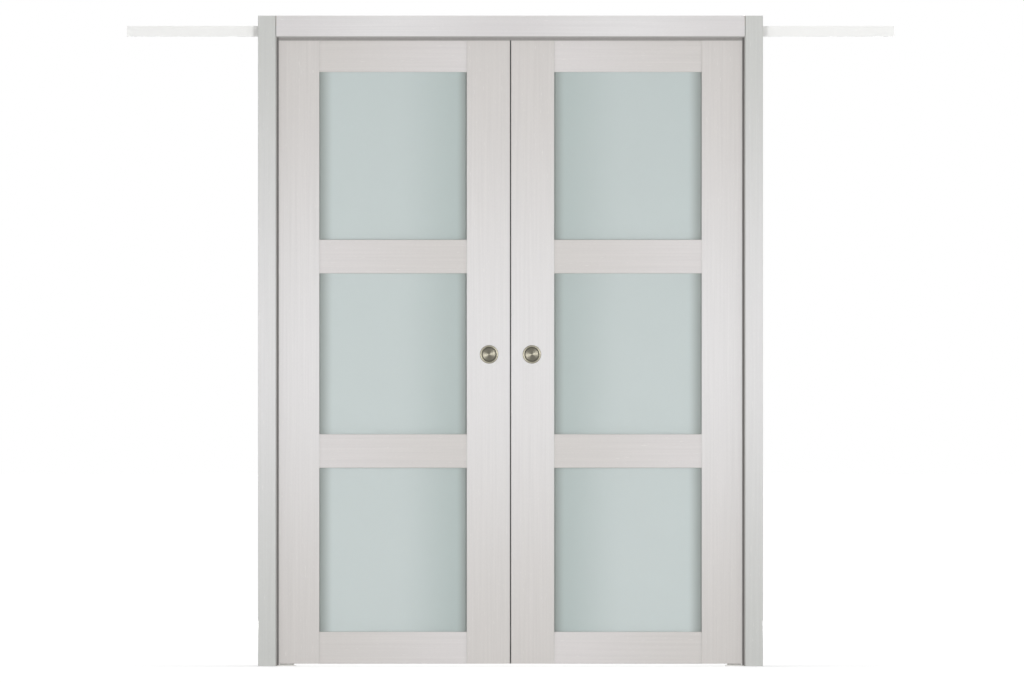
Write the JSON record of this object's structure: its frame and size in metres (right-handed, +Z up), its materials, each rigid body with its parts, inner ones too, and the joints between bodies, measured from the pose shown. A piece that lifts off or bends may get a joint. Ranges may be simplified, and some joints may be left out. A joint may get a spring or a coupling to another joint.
{
  "type": "double pocket door",
  "caption": "Double pocket door with frosted panes in pale veneered leaves, round flush pulls, casings, split jambs and a head track on which the leaves roll apart into the wall.",
  "frame": {"origin": "on the floor, in the middle of the doorway and of the wall's thickness", "axes": "+X to the right across the doorway, +Y to the back through the wall, +Z up"},
  "size_m": [2.5, 0.138, 2.119],
  "materials": {
    "leaf_veneer": "pale grey bleached veneer, satin",
    "casing_veneer": "pale grey bleached veneer, satin",
    "jamb_lacquer": "mid-grey lacquer, satin",
    "pine": "planed, bare",
    "beech": "fluted, bare",
    "frosted_glass": "satin etched",
    "gasket_rubber": "matt",
    "seal_rubber": "matt",
    "pile": "dense grey pile",
    "satin_nickel": "circular brushed, warm nickel",
    "track_white": "white powder coat",
    "stop_plastic": "moulded",
    "buffer_rubber": "matt",
    "guide_plastic": "moulded",
    "zinc_steel": "bright zinc",
    "wheel_nylon": "natural nylon"
  },
  "bodies": {
    "frame": {"header_board": "pine", "pile_seals": "pile", "track": "track_white", "track_stops": "stop_plastic", "stop_buffers": "buffer_rubber", "floor_guides": "guide_plastic", "frame_screws": "zinc_steel", "track_screws": "zinc_steel", "head_jamb_front": "jamb_lacquer", "head_casing_front": "casing_veneer", "side_jamb_left_front": "jamb_lacquer", "side_casing_left_front": "casing_veneer", "side_jamb_right_front": "jamb_lacquer", "side_casing_right_front": "casing_veneer", "head_jamb_back": "jamb_lacquer", "head_casing_back": "casing_veneer", "side_jamb_left_back": "jamb_lacquer", "side_casing_left_back": "casing_veneer", "side_jamb_right_back": "jamb_lacquer", "side_casing_right_back": "casing_veneer"},
    "leaf_left": {"meeting_stile_left": "leaf_veneer", "outer_stile_left": "leaf_veneer", "bottom_rail_left": "leaf_veneer", "lower_rail_left": "leaf_veneer", "upper_rail_left": "leaf_veneer", "top_rail_left": "leaf_veneer", "dowels_left": "beech", "bottom_pane_left": "frosted_glass", "middle_pane_left": "frosted_glass", "top_pane_left": "frosted_glass", "glazing_gaskets_left": "gasket_rubber", "meeting_seal_left": "seal_rubber", "flush_pulls_left": "satin_nickel", "hanger_brackets_left": "zinc_steel", "bracket_screws_left": "zinc_steel", "hanger_bolts_left": "zinc_steel", "carriages_left": "zinc_steel", "axles_left": "zinc_steel"},
    "inner_wheel_pair_left": {"inner_wheels_left": "wheel_nylon"},
    "outer_wheel_pair_left": {"outer_wheels_left": "wheel_nylon"},
    "leaf_right": {"meeting_stile_right": "leaf_veneer", "outer_stile_right": "leaf_veneer", "bottom_rail_right": "leaf_veneer", "lower_rail_right": "leaf_veneer", "upper_rail_right": "leaf_veneer", "top_rail_right": "leaf_veneer", "dowels_right": "beech", "bottom_pane_right": "frosted_glass", "middle_pane_right": "frosted_glass", "top_pane_right": "frosted_glass", "glazing_gaskets_right": "gasket_rubber", "meeting_seal_right": "seal_rubber", "flush_pulls_right": "satin_nickel", "hanger_brackets_right": "zinc_steel", "bracket_screws_right": "zinc_steel", "hanger_bolts_right": "zinc_steel", "carriages_right": "zinc_steel", "axles_right": "zinc_steel"},
    "inner_wheel_pair_right": {"inner_wheels_right": "wheel_nylon"},
    "outer_wheel_pair_right": {"outer_wheels_right": "wheel_nylon"}
  },
  "joints": [
    {"name": "leaf_left_slide", "type": "slide", "parent": "frame", "child": "leaf_left", "axis": [-1, 0, 0], "range_m": [0, 0.648]},
    {"name": "inner_wheels_left_roll", "type": "hinge", "parent": "leaf_left", "child": "inner_wheel_pair_left", "pos_m": [-0.22175, 0, 2.0678], "axis": [0, -1, 0], "continuous": true},
    {"name": "outer_wheels_left_roll", "type": "hinge", "parent": "leaf_left", "child": "outer_wheel_pair_left", "pos_m": [-0.54375, 0, 2.0678], "axis": [0, -1, 0], "continuous": true},
    {"name": "leaf_right_slide", "type": "slide", "parent": "frame", "child": "leaf_right", "axis": [1, 0, 0], "range_m": [0, 0.648]},
    {"name": "inner_wheels_right_roll", "type": "hinge", "parent": "leaf_right", "child": "inner_wheel_pair_right", "pos_m": [0.22175, 0, 2.0678], "axis": [0, 1, 0], "continuous": true},
    {"name": "outer_wheels_right_roll", "type": "hinge", "parent": "leaf_right", "child": "outer_wheel_pair_right", "pos_m": [0.54375, 0, 2.0678], "axis": [0, 1, 0], "continuous": true}
  ],
  "couplings": [
    {"joint": "inner_wheels_left_roll", "follows": "leaf_left_slide", "rad_per_m": 76.923},
    {"joint": "outer_wheels_left_roll", "follows": "leaf_left_slide", "rad_per_m": 76.923},
    {"joint": "inner_wheels_right_roll", "follows": "leaf_right_slide", "rad_per_m": 76.923},
    {"joint": "outer_wheels_right_roll", "follows": "leaf_right_slide", "rad_per_m": 76.923}
  ]
}
